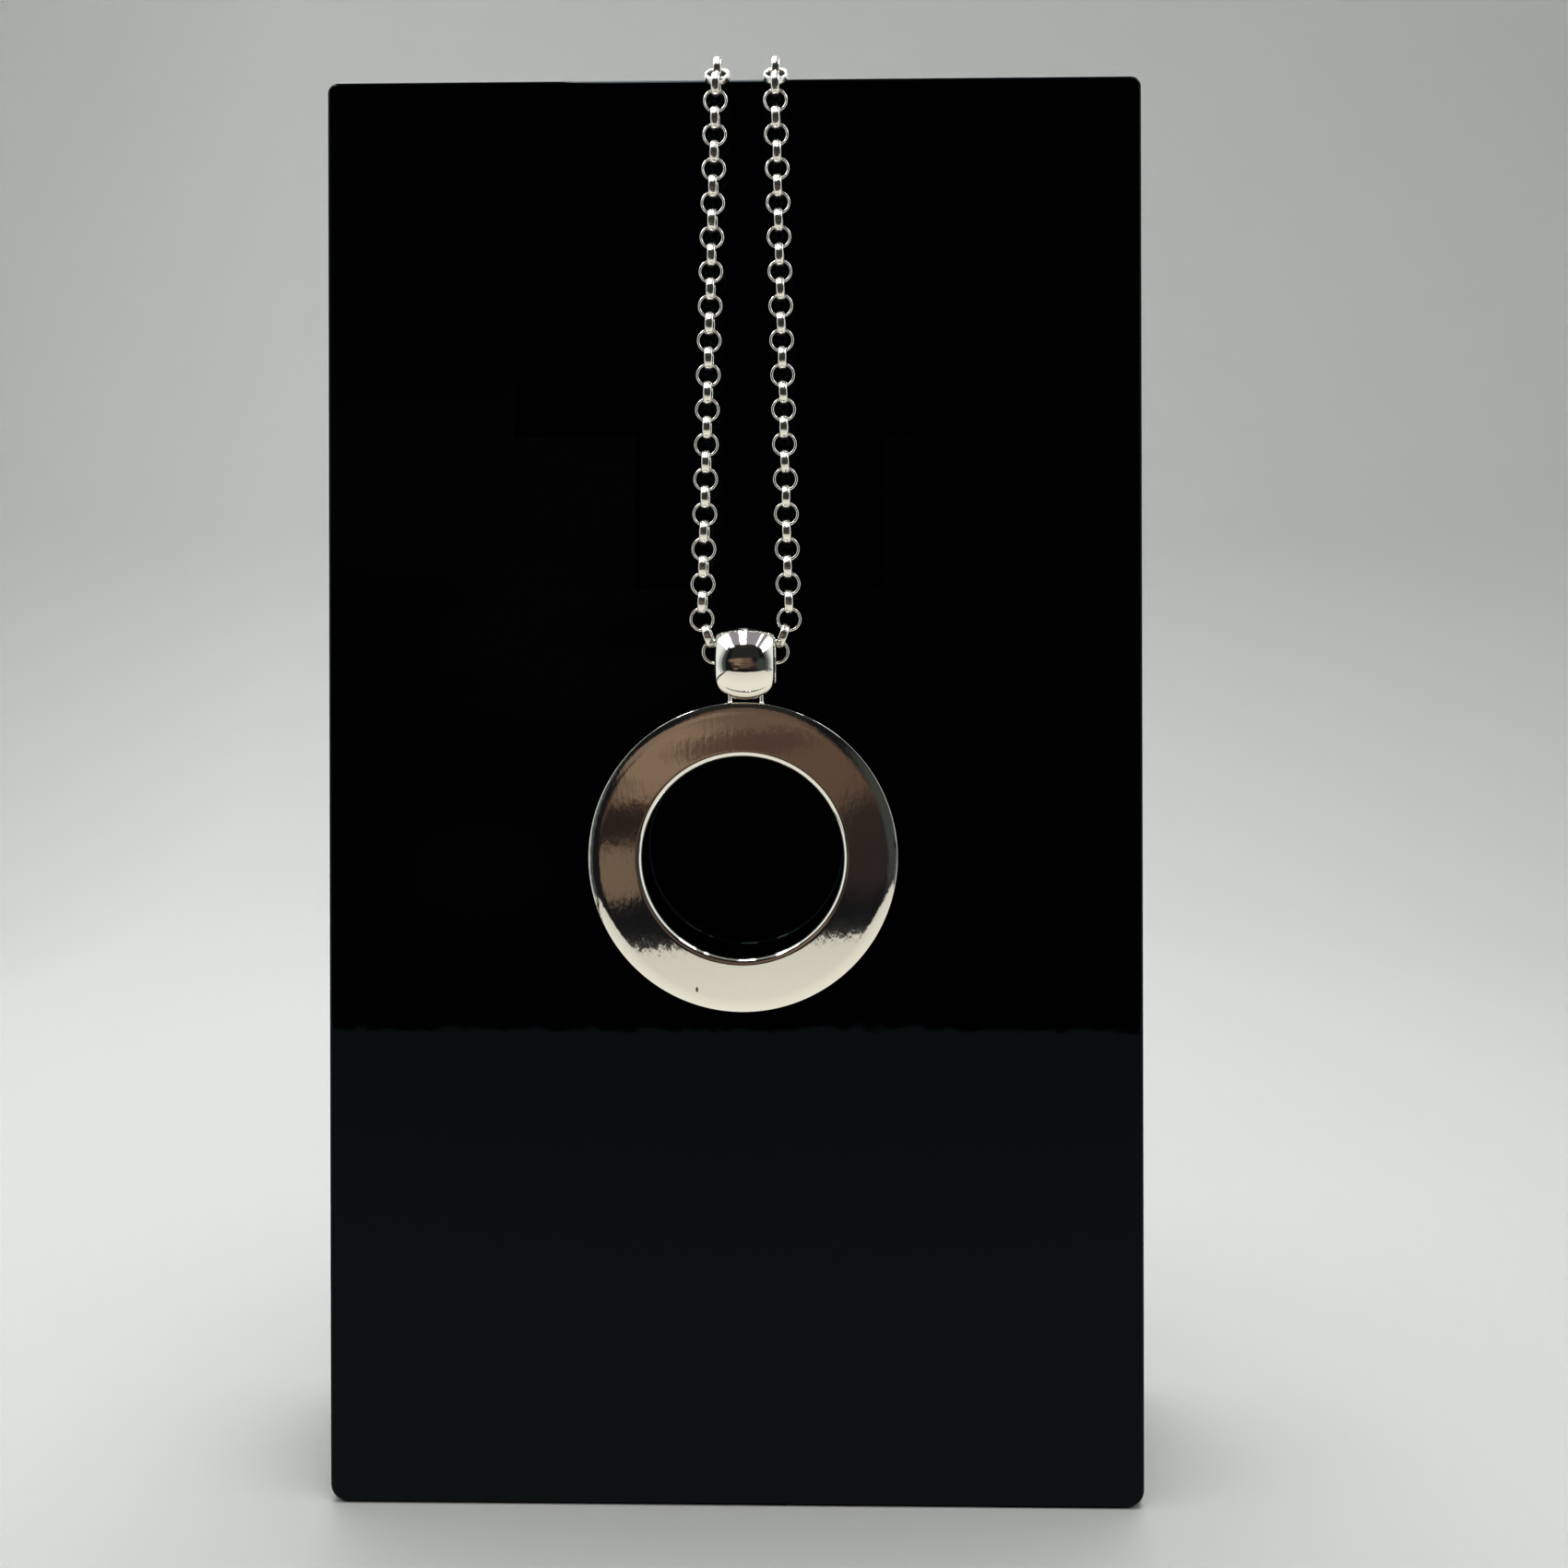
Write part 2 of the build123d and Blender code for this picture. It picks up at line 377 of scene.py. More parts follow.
# %% The block as a mesh
def make_block():
    steps = block_steps()
    outlines = [[(x, y, z) for x, z in block_outline(inset)] for inset, y in steps]
    columns = len(outlines[0])
    faces = grid_faces(len(outlines), columns, close_rows=False)
    faces.append(tuple(range(columns)))
    faces.append(tuple(range((len(outlines) - 1) * columns, len(outlines) * columns)))
    return new_piece("gloss_block", [p for outline in outlines for p in outline], faces)


gloss_block = make_block()
gloss_block.data.materials.append(black_lacquer)
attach(gloss_block, "display")
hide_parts("display_block")
report(gloss_block)

# %% [markdown]
# ## The open circle
#
# It was cut from thick sheet, slightly domed, with a soft shoulder that ends in a crisp outer edge, and the
# lip of the hole is fully rounded. It is a lathe shape: one profile, half a cut through the ring, turned
# about the circle's axis. The dome matters more than it seems to. A dead flat face would mirror the white
# floor only in its lowest quarter. The shoulder gives the two white crescents that climb up both sides.
#
# Filing takes a little off the edge, and the whole plate is twisted by a hair, a tenth of a millimetre.
# No one would measure that, but it lifts the mirrored edge of the floor on the right and lowers it on the
# left.

# %% The sizes of the circle
edge_loss = 0.11 * MM
ring_outer = circle_outer - edge_loss
ring_middle = circle_middle + Vector((0, 0, edge_loss))
circle_bore = 9.55 * MM
circle_half_thick = 1.1 * MM
circle_lip = 0.6 * MM
circle_dome_radius = 150.0 * MM
circle_shoulder_start = 13.55 * MM
circle_shoulder_radius = 4.3 * MM
circle_corner = 0.07 * MM
circle_twist = -0.9
lip_steps = 18
dome_steps = 24
shoulder_steps = 12
edge_steps = 8
print("circle", round(2 * ring_outer / MM, 2), "mm over a bore of", round(2 * circle_bore / MM, 2), "mm")

# %% The profile of the circle
def circle_profile():
    """(radius, depth) points round the section: bore, lip, domed face, shoulder, corner and back again."""
    lip_middle = circle_bore + circle_lip
    wall = circle_half_thick - circle_lip
    dome_lean = math.asin(lip_middle / circle_dome_radius)
    front = [(circle_bore, wall * step / 3) for step in range(3)]
    for step in range(lip_steps + 1):
        a = (math.pi / 2 + dome_lean) * step / lip_steps
        front.append((lip_middle - circle_lip * math.cos(a), wall + circle_lip * math.sin(a)))
    face_start, face_depth = front[-1]
    for step in range(1, dome_steps + 1):
        radius = face_start + (circle_shoulder_start - face_start) * step / dome_steps
        front.append((radius, face_depth - (radius**2 - face_start**2) / (2 * circle_dome_radius)))

    start = math.asin(circle_shoulder_start / circle_dome_radius)
    reach = ring_outer - circle_shoulder_start - circle_corner + circle_shoulder_radius * math.sin(start)
    end = math.asin(reach / (circle_shoulder_radius - circle_corner))
    radius, depth = front[-1]
    bends = (
        (circle_shoulder_radius, start, end, shoulder_steps),
        (circle_corner, end, math.pi / 2, edge_steps),
    )
    for bend, low, high, steps in bends:
        for step in range(1, steps + 1):
            lean = low + (high - low) * step / steps
            across = bend * (math.sin(lean) - math.sin(low))
            fall = bend * (math.cos(low) - math.cos(lean))
            front.append((radius + across, depth - fall))
        radius, depth = front[-1]
    back = [(radius, -depth) for radius, depth in reversed(front[1:])]
    return front + back


print("circle profile has", len(circle_profile()), "points")

# %% The circle as a mesh
circle_turns = 360


def make_circle():
    profile = circle_profile()
    points = []
    for turn in range(circle_turns):
        angle = 2 * math.pi * turn / circle_turns
        for radius, depth in profile:
            across, up = radius * math.sin(angle), radius * math.cos(angle)
            points.append(ring_middle + Vector((across, circle_twist * across * up - depth, up)))
    return new_piece("domed_circle", points, grid_faces(circle_turns, len(profile)))


domed_circle = make_circle()
domed_circle.data.materials.append(rubbed_silver)
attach(domed_circle, "circle")
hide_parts("open_circle")
report(domed_circle)

# %% [markdown]
# ## The small loop on top of the circle
#
# A staple of thin round wire, soldered into the circle's edge. The strip at the foot of the bail passes
# through it. A tube along a path with round corners makes it, and its feet spread a little where the solder
# has run.

# %% A tube along a path
def tube(name, path, radii, sides=20):
    """A tube round a path of points with one radius for each, closed at its two ends."""
    path = [Vector(p) for p in path]
    points = []
    across = Vector((0, 1, 0))
    for index, (middle, radius) in enumerate(zip(path, radii)):
        ahead = path[min(index + 1, len(path) - 1)] - path[max(index - 1, 0)]
        sideways = ahead.cross(across).normalized()
        for side in range(sides):
            angle = 2 * math.pi * side / sides
            points.append(middle + radius * (math.cos(angle) * across + math.sin(angle) * sideways))
    faces = grid_faces(len(path), sides, close_rows=False)
    faces.append(tuple(range(sides)))
    faces.append(tuple(range((len(path) - 1) * sides, len(path) * sides)))
    return new_piece(name, points, faces)


# %% The sizes of the loop
loop_wire = 0.4 * MM
loop_leg_x = 1.49 * MM
loop_corner = 0.45 * MM
loop_root = 0.5 * MM
solder_spread = 0.16 * MM
solder_height = 0.16 * MM
leg_step = 0.1 * MM
leg_steps = 10
print("loop legs stand", round(2 * loop_leg_x / MM, 2), "mm apart")

# %% The path of the loop
def circle_edge(x):
    """How high the circle's outer edge stands at x."""
    return ring_middle.z + math.sqrt(ring_outer**2 - (x - ring_middle.x) ** 2)


def loop_half(side):
    """The points of one half of the loop, from its foot in the circle to the middle of the bar."""
    bar = circle_high.z - loop_wire / 2
    leg = pendant_x + side * loop_leg_x
    foot = circle_edge(leg) - loop_root
    points = [(leg, foot + step * leg_step) for step in range(leg_steps)]
    points.append((leg, bar - loop_corner - 0.05 * MM))
    for step in range(9):
        angle = math.radians(90 * step / 8)
        inwards = loop_corner * (1 - math.cos(angle))
        points.append((leg - side * inwards, bar - loop_corner + loop_corner * math.sin(angle)))
    points.append((pendant_x + side * 0.5 * MM, bar))
    return points


# %% The loop as a mesh
def make_loop():
    path, radii = [], []
    for x, z in loop_half(-1) + loop_half(1)[::-1]:
        above = max(z - circle_edge(x), 0)
        path.append((x, circle_middle.y, z))
        radii.append(loop_wire / 2 + solder_spread * math.exp(-above / solder_height))
    return tube("hanging_loop", path, radii)


hanging_loop = make_loop()
hanging_loop.data.materials.append(polished_silver)
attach(hanging_loop, "circle")
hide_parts("open_circle")
report(hanging_loop)

# %% [markdown]
# ## The bail
#
# A barrel-shaped band that the chain runs through. It is full in the middle both ways, like a tiny barrel,
# narrows in two round cheeks to a chin, and ends in the strip that carries the loop. The grid goes round the
# band, and at each step the section is as wide as the front outline allows at that height.
#
# Seen from the side the band is nearly a circle. Its upper front is a little flatter and its top turns over
# more tightly, as a band does that was bent round a mandrel by hand. It is only two tenths of a millimetre,
# yet it decides what the front mirrors: the lamps overhead, instead of the black block behind.

# %% How wide the band is at each height
bail_half = 2.82 * MM
bail_bore = 2.55 * MM
bail_crown = 0.8 * MM
bail_edge_round = 0.2 * MM
bail_inner_round = 0.08 * MM
chin_half = 1.65 * MM
chin_rise = 0.3 * MM
cheek_rise = 2.2 * MM
cheek_power = 2.6
strip_half = 1.15 * MM
strip_half_length = 0.5 * MM
notch_round = 1.21 * MM
notch_top = -1.39 * MM


def band_half_width(y, z):
    """Half the band's width at a place of its own, y and z counted from the bail's axis."""
    above_chin = z + bail_outer - chin_rise
    rise = cheek_rise - chin_rise
    share = min(max(above_chin / rise, 0.0), 1.0)
    width = chin_half + (bail_half - chin_half) * (1 - (1 - share) ** cheek_power) ** (1 / cheek_power)
    beyond = abs(y) - strip_half_length
    if z < notch_top and beyond < notch_round:
        inside = max(beyond, 0.0)
        width = min(width, strip_half + notch_round - math.sqrt(notch_round**2 - inside**2))
    return width


print("band is", round(2 * band_half_width(bail_outer, 0.0) / MM, 2), "mm wide at its middle")

# %% The band's side view
front_leans = (0, 14, 24, 40, 50, 90)
front_bends = (3.55, 3.55, 5.0, 5.0, 1.75, 1.75)
lean_step = 0.5


def side_view():
    """Angle from the top and distance from the axis of the band's upper front, from level to upright.
    How fast it bends is given first, as a radius in millimetres for each lean in degrees."""
    lean = np.arange(0.0, 90.0 + lean_step, lean_step)
    bend = np.interp(lean, front_leans, front_bends) * MM
    stretch = bend[:-1] * math.radians(lean_step)
    half_way = np.radians(lean[:-1] + lean_step / 2)
    rise = np.concatenate(([0.0], np.cumsum(stretch * np.cos(half_way))))
    back = np.concatenate(([0.0], np.cumsum(stretch * np.sin(half_way))))
    rise *= bail_outer / rise[-1]
    ahead = np.append(bail_outer - back, 0.0)
    rise = np.append(rise, rise[-1])
    return np.arctan2(ahead, rise)[::-1], np.hypot(ahead, rise)[::-1]


side_angles, side_radii = side_view()
print("side view off a true circle by", round(float(abs(side_radii - bail_outer).max()) / MM, 3), "mm")


def swell(angle):
    """How far the band stands out beyond a true circle at an angle from its top."""
    from_top = abs((angle + math.pi) % (2 * math.pi) - math.pi)
    if from_top > math.pi / 2:
        return 0.0
    return float(np.interp(from_top, side_angles, side_radii)) - bail_outer


# %% The band's section at one step round it
crown_radius = (bail_half**2 + bail_crown**2) / (2 * bail_crown)


def crown_height(x):
    """The outer radius of the band at a distance x from its middle."""
    return bail_outer - crown_radius + math.sqrt(crown_radius**2 - x**2)


def band_section(angle):
    """(x, radius) points round the band's section at an angle from its top."""
    y, z = math.sin(angle), math.cos(angle)
    outer_half = band_half_width(bail_outer * y, bail_outer * z)
    inner_half = band_half_width(bail_bore * y, bail_bore * z)
    shoulder = outer_half - bail_edge_round
    top = crown_height(shoulder) + swell(angle)
    slope = math.asin(shoulder / crown_radius)
    half = [(shoulder * step / 14, crown_height(shoulder * step / 14) + swell(angle)) for step in range(15)]
    middle_x = shoulder - bail_edge_round * math.sin(slope)
    middle_r = top - bail_edge_round * math.cos(slope)
    for step in range(1, 9):
        turn = slope + (math.pi / 2 - slope) * step / 8
        x = middle_x + bail_edge_round * math.sin(turn)
        half.append((x, middle_r + bail_edge_round * math.cos(turn)))
    for step in range(5):
        turn = math.radians(90 * step / 4)
        x = inner_half - bail_inner_round * (1 - math.cos(turn))
        half.append((x, bail_bore + bail_inner_round * (1 - math.sin(turn))))
    half += [((inner_half - bail_inner_round) * (5 - step) / 6, bail_bore) for step in range(5)]
    half.append((0.0, bail_bore))
    return half + [(-x, radius) for x, radius in reversed(half[1:-1])]


print("band section has", len(band_section(0.0)), "points")

# %% The bail as a mesh
bail_turns = 288


def make_bail():
    points = []
    for turn in range(bail_turns):
        angle = 2 * math.pi * turn / bail_turns
        section = band_section(angle)
        for x, radius in section:
            points.append(bail_middle + Vector((x, -radius * math.sin(angle), radius * math.cos(angle))))
    return new_piece("barrel_bail", points, grid_faces(bail_turns, len(section)))


barrel_bail = make_bail()
barrel_bail.data.materials.append(polished_silver)
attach(barrel_bail, "bail")
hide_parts("bail")
report(barrel_bail)

# %% [markdown]
# ## The belcher chain
#
# Every link is the same round hoop of broad wire, flat inside and full outside. The frame's chain node holds
# them all in one mesh, one island for each link. We find the islands, take the middle and the axis of each,
# and put a finer hoop there. That way a hoop can't drift from the link that it stands for. Each is turned
# by a degree or two, because no two links of a real chain hang quite alike. Instances would be lighter, but
# joined meshes export the same everywhere.

# %% Find each link of the frame's chain
def islands(mesh):
    """The points of each loose island of a mesh, as arrays in metres."""
    work = bmesh.new()
    work.from_mesh(mesh)
    bmesh.ops.remove_doubles(work, verts=work.verts, dist=1e-6)
    work.verts.ensure_lookup_table()
    seen = set()
    found = []
    for start in work.verts:
        if start.index in seen:
            continue
        seen.add(start.index)
        stack, island = [start], []
        while stack:
            vert = stack.pop()
            island.append(vert.co[:])
            for edge in vert.link_edges:
                other = edge.other_vert(vert)
                if other.index not in seen:
                    seen.add(other.index)
                    stack.append(other)
        found.append(np.array(island))
    work.free()
    return found


# %% Place each link
mean_play = 0.05 * MM


def link_place(points):
    """The middle of a link and its axis, the way in which its points spread least."""
    box_middle = (points.min(0) + points.max(0)) / 2
    mean = points.mean(0)
    middle = mean if np.linalg.norm(mean - box_middle) < mean_play else box_middle
    _, _, directions = np.linalg.svd(points - middle)
    return Vector(middle), Vector(directions[2])


link_places = [link_place(points) for points in islands(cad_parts["chain"].data)]
print("links found", len(link_places))

# %% One link's section
link_outer = 1.22 * MM
link_thick = 0.3 * MM
link_half_width = 0.4 * MM
link_turns = 36
section_steps = 14


def link_section():
    """(radius, width) points of the wire: flat inside, full outside, with blunt ends."""
    points = []
    for step in range(section_steps):
        angle = 2 * math.pi * (step + 0.5) / section_steps
        out, across = math.cos(angle), math.sin(angle)
        depth = math.copysign(abs(out) ** (0.75 if out > 0 else 0.5), out) * link_thick / 2
        width = math.copysign(abs(across) ** 0.6, across) * link_half_width
        points.append((link_outer - link_thick / 2 + depth, width))
    return points


print("a hoop has", link_turns * len(link_section()), "points")

# %% The hoops of a set of links as one mesh
link_unrest = 0.03


def make_links(name, places, seed):
    section = link_section()
    chance = random.Random(seed)
    points, faces = [], []
    for middle, axis in places:
        sway = Vector([chance.uniform(-link_unrest, link_unrest) for _ in range(3)])
        axis = (axis + sway).normalized()
        side = axis.orthogonal().normalized()
        up = axis.cross(side).normalized()
        first = len(points)
        for turn in range(link_turns):
            angle = 2 * math.pi * turn / link_turns
            spoke = math.cos(angle) * side + math.sin(angle) * up
            points += [middle + radius * spoke + width * axis for radius, width in section]
        faces += grid_faces(link_turns, section_steps, first)
    return new_piece(name, points, faces)


behind = block_high.y - 2 * MM
for name, seed, places in (
    ("chain_front", 3, [place for place in link_places if place[0].y < behind]),
    ("chain_back", 4, [place for place in link_places if place[0].y >= behind]),
):
    links = make_links(name, places, seed)
    links.data.materials.append(tumbled_silver)
    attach(links, "display")
    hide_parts("chain")
    report(links)

# %% [markdown]
# ## The clasp
#
# It hangs behind the block, where no one sees it from the front. A spring ring is a hollow hoop with an eye
# at each side for the last links. Three rings and the small lever with which it opens are enough here.

# %% The sizes of the clasp
clasp_wire = 0.45 * MM
clasp_ring = 2.35 * MM
eye_wire = 0.25 * MM
eye_ring = 1.05 * MM
clasp_middle = (clasp_low + clasp_high) / 2
eye_x = clasp_high.x - clasp_middle.x - eye_ring - eye_wire
print("clasp ring", round(2 * (clasp_ring + clasp_wire) / MM, 2), "mm across")

# %% The clasp's three rings
def ring_points(middle, radius, wire, turns=72, sides=20):
    """The grid points of a ring of round wire that lies in the X-Z plane."""
    points = []
    for turn in range(turns):
        angle = 2 * math.pi * turn / turns
        spoke = Vector((math.cos(angle), 0, math.sin(angle)))
        for side in range(sides):
            around = 2 * math.pi * side / sides
            out = (radius + wire * math.cos(around)) * spoke
            points.append(middle + out + Vector((0, wire * math.sin(around), 0)))
    return points, turns, sides


def make_clasp():
    points, faces = [], []
    rings = (
        (clasp_middle, clasp_ring, clasp_wire),
        (clasp_middle + Vector((eye_x, 0, 0)), eye_ring, eye_wire),
        (clasp_middle - Vector((eye_x, 0, 0)), eye_ring, eye_wire),
    )
    for middle, radius, wire in rings:
        ring, turns, sides = ring_points(middle, radius, wire)
        faces += grid_faces(turns, sides, len(points))
        points += ring
    return new_piece("spring_ring", points, faces)


# %% The clasp's lever
lever_angle = math.radians(35)
lever_reaches = (0.25, 0.4, 0.55, 0.7, 0.8, 0.88, 0.92)
lever_radii = (0.2, 0.2, 0.2, 0.24, 0.24, 0.18, 0.08)


def make_lever():
    """A short thick pin with a round head that stands out of the ring's lower side."""
    way = Vector((math.sin(lever_angle), 0, -math.cos(lever_angle)))
    path = [clasp_middle + way * (clasp_ring + reach * MM) for reach in lever_reaches]
    return tube("clasp_lever", path, [radius * MM for radius in lever_radii], sides=16)


for piece in (make_clasp(), make_lever()):
    piece.data.materials.append(polished_silver)
    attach(piece, "display")
    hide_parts("clasp")
    report(piece)

# %% [markdown]
# ## The pale floor and sweep
#
# A photographer's sweep has no corner: the floor bends up into the wall. Here it goes all the way round, as a
# bowl, so that every side view has the same calm background. Soft lamps overhead make its tones: a surface
# that faces up is bright, and the wall above it is greyer. Painted shade makes the paper's colour a shade
# darker to both sides, where less light falls.

# %% The sweep
sweep_floor = 0.3
sweep_bend = 0.12
sweep_top = 0.75
sweep_turns = 128


def make_sweep():
    profile = [(sweep_floor * step / 6, 0.0) for step in range(7)]
    for step in range(1, 25):
        angle = math.radians(90 * step / 24)
        profile.append((sweep_floor + sweep_bend * math.sin(angle), sweep_bend * (1 - math.cos(angle))))
    profile.append((sweep_floor + sweep_bend, sweep_top))
    points = []
    for turn in range(sweep_turns):
        angle = 2 * math.pi * turn / sweep_turns
        points += [(radius * math.cos(angle), radius * math.sin(angle), height) for radius, height in profile]
    return new_piece("sweep", points, grid_faces(sweep_turns, len(profile), close_columns=False))


sweep = make_sweep()
print("sweep radius", sweep_floor + sweep_bend)

# %% The paper of the sweep, with painted shade to both sides
paper_places = (0.2, 0.4, 0.75)
paper_painted_shades = (0.67, 0.83, 0.8, 0.73, 0.64)
sweep_paint, sweep_tree, sweep_shader = new_material("sweep_paper")
sweep_shader.inputs["Roughness"].default_value = 0.9
sweep_shader.inputs["Specular IOR Level"].default_value = 0.0
sweep_place = sweep_tree.nodes.new("ShaderNodeTexCoord")
sweep_axes = sweep_tree.nodes.new("ShaderNodeSeparateXYZ")
sweep_share = sweep_tree.nodes.new("ShaderNodeMapRange")
sweep_share.inputs["From Min"].default_value = -sweep_floor
sweep_share.inputs["From Max"].default_value = sweep_floor
# The ramp paints shade into the paper's colour: it is darkest at both sides, where less of the lamps' light
# falls.
sweep_shade_ramp = sweep_tree.nodes.new("ShaderNodeValToRGB")
sweep_stops = sweep_shade_ramp.color_ramp.elements
for place in paper_places:
    sweep_stops.new(place)
for stop, shade in zip(sweep_stops, paper_painted_shades):
    stop.color = (0.99 * shade, 1.005 * shade, 0.985 * shade, 1.0)
sweep_tree.links.new(sweep_place.outputs["Object"], sweep_axes.inputs["Vector"])
sweep_tree.links.new(sweep_axes.outputs["X"], sweep_share.inputs["Value"])
sweep_tree.links.new(sweep_share.outputs["Result"], sweep_shade_ramp.inputs["Fac"])
sweep_tree.links.new(sweep_shade_ramp.outputs["Color"], sweep_shader.inputs["Base Color"])
print("paper shades", [(round(stop.position, 2), round(stop.color[0], 2)) for stop in sweep_stops])
sweep.data.materials.append(sweep_paint)
sweep.visible_glossy = False

# %% [markdown]
# ## The tent that the silver reflects
#
# The real light comes from a small white tent: a white floor, white walls with an opening at the front, and
# long lamps overhead. For the silver each of these is one flat card that glows a little. The cards are hidden
# from the camera and from matt surfaces, so they shape the reflections alone and can be tuned one by one.

# %% One glowing card
def make_card(name, corners, colour, strength=1.0):
    """A glowing card with four corners in millimetres, seen only in reflections."""
    mesh = bpy.data.meshes.new(name)
    mesh.from_pydata([tuple(value * MM for value in corner) for corner in corners], [], [(0, 1, 2, 3)])
    card = bpy.data.objects.new(name, mesh)
    bpy.context.scene.collection.objects.link(card)
    material = bpy.data.materials.new(name + "_glow")
    material.use_nodes = True
    tree = material.node_tree
    tree.nodes.clear()
    glow = tree.nodes.new("ShaderNodeEmission")
    glow.inputs["Color"].default_value = (*colour, 1.0)
    glow.inputs["Strength"].default_value = strength
    output = tree.nodes.new("ShaderNodeOutputMaterial")
    tree.links.new(glow.outputs["Emission"], output.inputs["Surface"])
    mesh.materials.append(material)
    card.visible_camera = False
    card.visible_diffuse = False
    card.visible_shadow = False
    card.visible_transmission = False
    return card


# %% A card that fades from front to back
def glow_of(card):
    """The node tree of a card's glow and the emission node in it."""
    tree = card.data.materials[0].node_tree
    return tree, next(node for node in tree.nodes if node.type == "EMISSION")


def fade(card, strengths, y_range):
    """Lets a card glow with the first strength at the first y in millimetres, the second at the second."""
    tree, glow = glow_of(card)
    place = tree.nodes.new("ShaderNodeTexCoord")
    axes = tree.nodes.new("ShaderNodeSeparateXYZ")
    share = tree.nodes.new("ShaderNodeMapRange")
    share.inputs["From Min"].default_value = y_range[0] * MM
    share.inputs["From Max"].default_value = y_range[1] * MM
    share.inputs["To Min"].default_value = strengths[0]
    share.inputs["To Max"].default_value = strengths[1]
    tree.links.new(place.outputs["Object"], axes.inputs["Vector"])
    tree.links.new(axes.outputs["Y"], share.inputs["Value"])
    tree.links.new(share.outputs["Result"], glow.inputs["Strength"])


# %% Level and upright cards
def level_card(name, x_range, y_range, z, colour, strength=1.0):
    """A card that lies level."""
    (left, right), (near, far) = x_range, y_range
    corners = ((left, near, z), (right, near, z), (right, far, z), (left, far, z))
    return make_card(name, corners, colour, strength)


def upright_card(name, foot_near, foot_far, z_range, colour, strength=1.0):
    """A card that stands on the line between two places on the floor."""
    low, high = z_range
    corners = ((*foot_near, low), (*foot_far, low), (*foot_far, high), (*foot_near, high))
    return make_card(name, corners, colour, strength)


# %% The tent's floor, walls and ceiling
tent_front = -187.0
tent_back = 113.0
tent_half = 150.0
tent_height = 306.0
floor_gap = 0.3
left_wall_front = -151.0
right_wall_front = -181.0
WARM_WHITE = (0.72, 0.69, 0.59)
WALL_WHITE = (0.62, 0.64, 0.6)
WALL_DIM = (0.05, 0.055, 0.05)
CEILING_GREY = (0.27, 0.25, 0.265)

whole_depth = (tent_front, tent_back)
whole_width = (-tent_half, tent_half)
whole_height = (floor_gap, tent_height)
tent_floor = level_card("tent_floor", whole_width, whole_depth, 0.3, WARM_WHITE)
fade(tent_floor, (0.88, 1.12), (-165.0, -55.0))
level_card("tent_ceiling", whole_width, whole_depth, tent_height, CEILING_GREY)
upright_card("tent_rear", (-tent_half, tent_back), (tent_half, tent_back), whole_height, WALL_WHITE)
tent_right = upright_card(
    "tent_right", (tent_half, right_wall_front), (tent_half, tent_back), whole_height, WALL_WHITE
)
tent_left = make_card(
    "tent_left",
    (
        (-tent_half, left_wall_front, floor_gap),
        (-50.0, tent_back, floor_gap),
        (-tent_half, tent_back, tent_height),
        (-tent_half, left_wall_front, tent_height),
    ),
    WALL_WHITE,
)
for wall in (tent_left, tent_right):
    fade(wall, (0.12, 1.3), (-158.0, -96.0))
upright_card(
    "tent_left_dim", (-tent_half, tent_front), (-tent_half, left_wall_front), whole_height, WALL_DIM
)
print("tent", 2 * tent_half, "by", tent_back - tent_front, "by", tent_height, "mm")

# %% [markdown]
# ## Two dark lines in the tent
#
# Two thin dark strips lie just over the cloth: one along the left side of the floor, and one across the foot
# of the right wall. The bail mirrors the left one as a short dark stroke. The lines could be painted on the
# big cards, but two strips are easier to move.

# %% Two dark lines
# Two thin dark strips, seen only in reflections, where the bail mirrors them as dark strokes.
DARK_LINE = (0.015, 0.015, 0.014)
dark_lines = (
    make_card("dark_line_left", ((-162, -222, 1), (-148, -222, 1), (-83, 2, 1), (-97, 2, 1)), DARK_LINE),
    make_card("dark_line_right", ((149, -218, 47), (149, -90, 18), (149, -90, 27), (149, -218, 56)), DARK_LINE),
)
print("dark_lines", [dark_line.name for dark_line in dark_lines])

# %% [markdown]
# ## Two black flags
#
# A flag is a small dark card on a stand. Two hang before the chain, just above what the circle sees: a little
# one close to it and a larger one farther off. They keep the room out of the links and of the bail's upper
# front, which go nearly black in the middle.

# %% The flags
FLAG_BLACK = (0.018, 0.018, 0.015)
flags = (
    upright_card("near_flag", (-13, -41), (16, -41), (90.5, 117), FLAG_BLACK),
    upright_card("far_flag", (-34, -76), (34, -76), (113, 158), FLAG_BLACK),
)
print("flags", [flag.name for flag in flags])

# %% [markdown]
# ## The lamps overhead
#
# Long lamps lie on the ceiling and run from front to back. The top of the bail mirrors them as white bars
# with the grey ceiling between them. A band of light along the top of each side wall whitens the sides of the
# bail's top. Bars that are cards of their own keep sharp edges, and each has its own strength.

# %% The lamps overhead
LAMP_WHITE = (1.0, 1.0, 0.97)
lamp_depth = (tent_front + 2.0, 73.0)
lamp_bars = (
    ("lamp_left", (-149.0, -109.0), 8.0),
    ("lamp_middle", (-42.0, 2.0), 8.0),
    ("lamp_right", (91.0, 104.0), 3.5),
    ("lamp_far_right", (137.0, 149.0), 3.5),
)
for name, lamp_width, lamp_strength in lamp_bars:
    level_card(name, lamp_width, lamp_depth, tent_height - 3.0, LAMP_WHITE, lamp_strength)

wall_glow = 2.2
upright_card("glow_left", (-149, left_wall_front), (-149, tent_back), (240, 300), LAMP_WHITE, wall_glow)
upright_card("glow_right", (149, right_wall_front), (149, tent_back), (228, 300), LAMP_WHITE, wall_glow)
print("lamp bars", len(lamp_bars))

# %% [markdown]
# ## The room before the opening
#
# Through the opening the silver sees the dim room: soft brown and grey patches without any edge. One black
# card is painted with them, one after the other, like wet spots of colour. Stretched noise draws them out
# sideways, the way upright polishing lines smear a reflection.

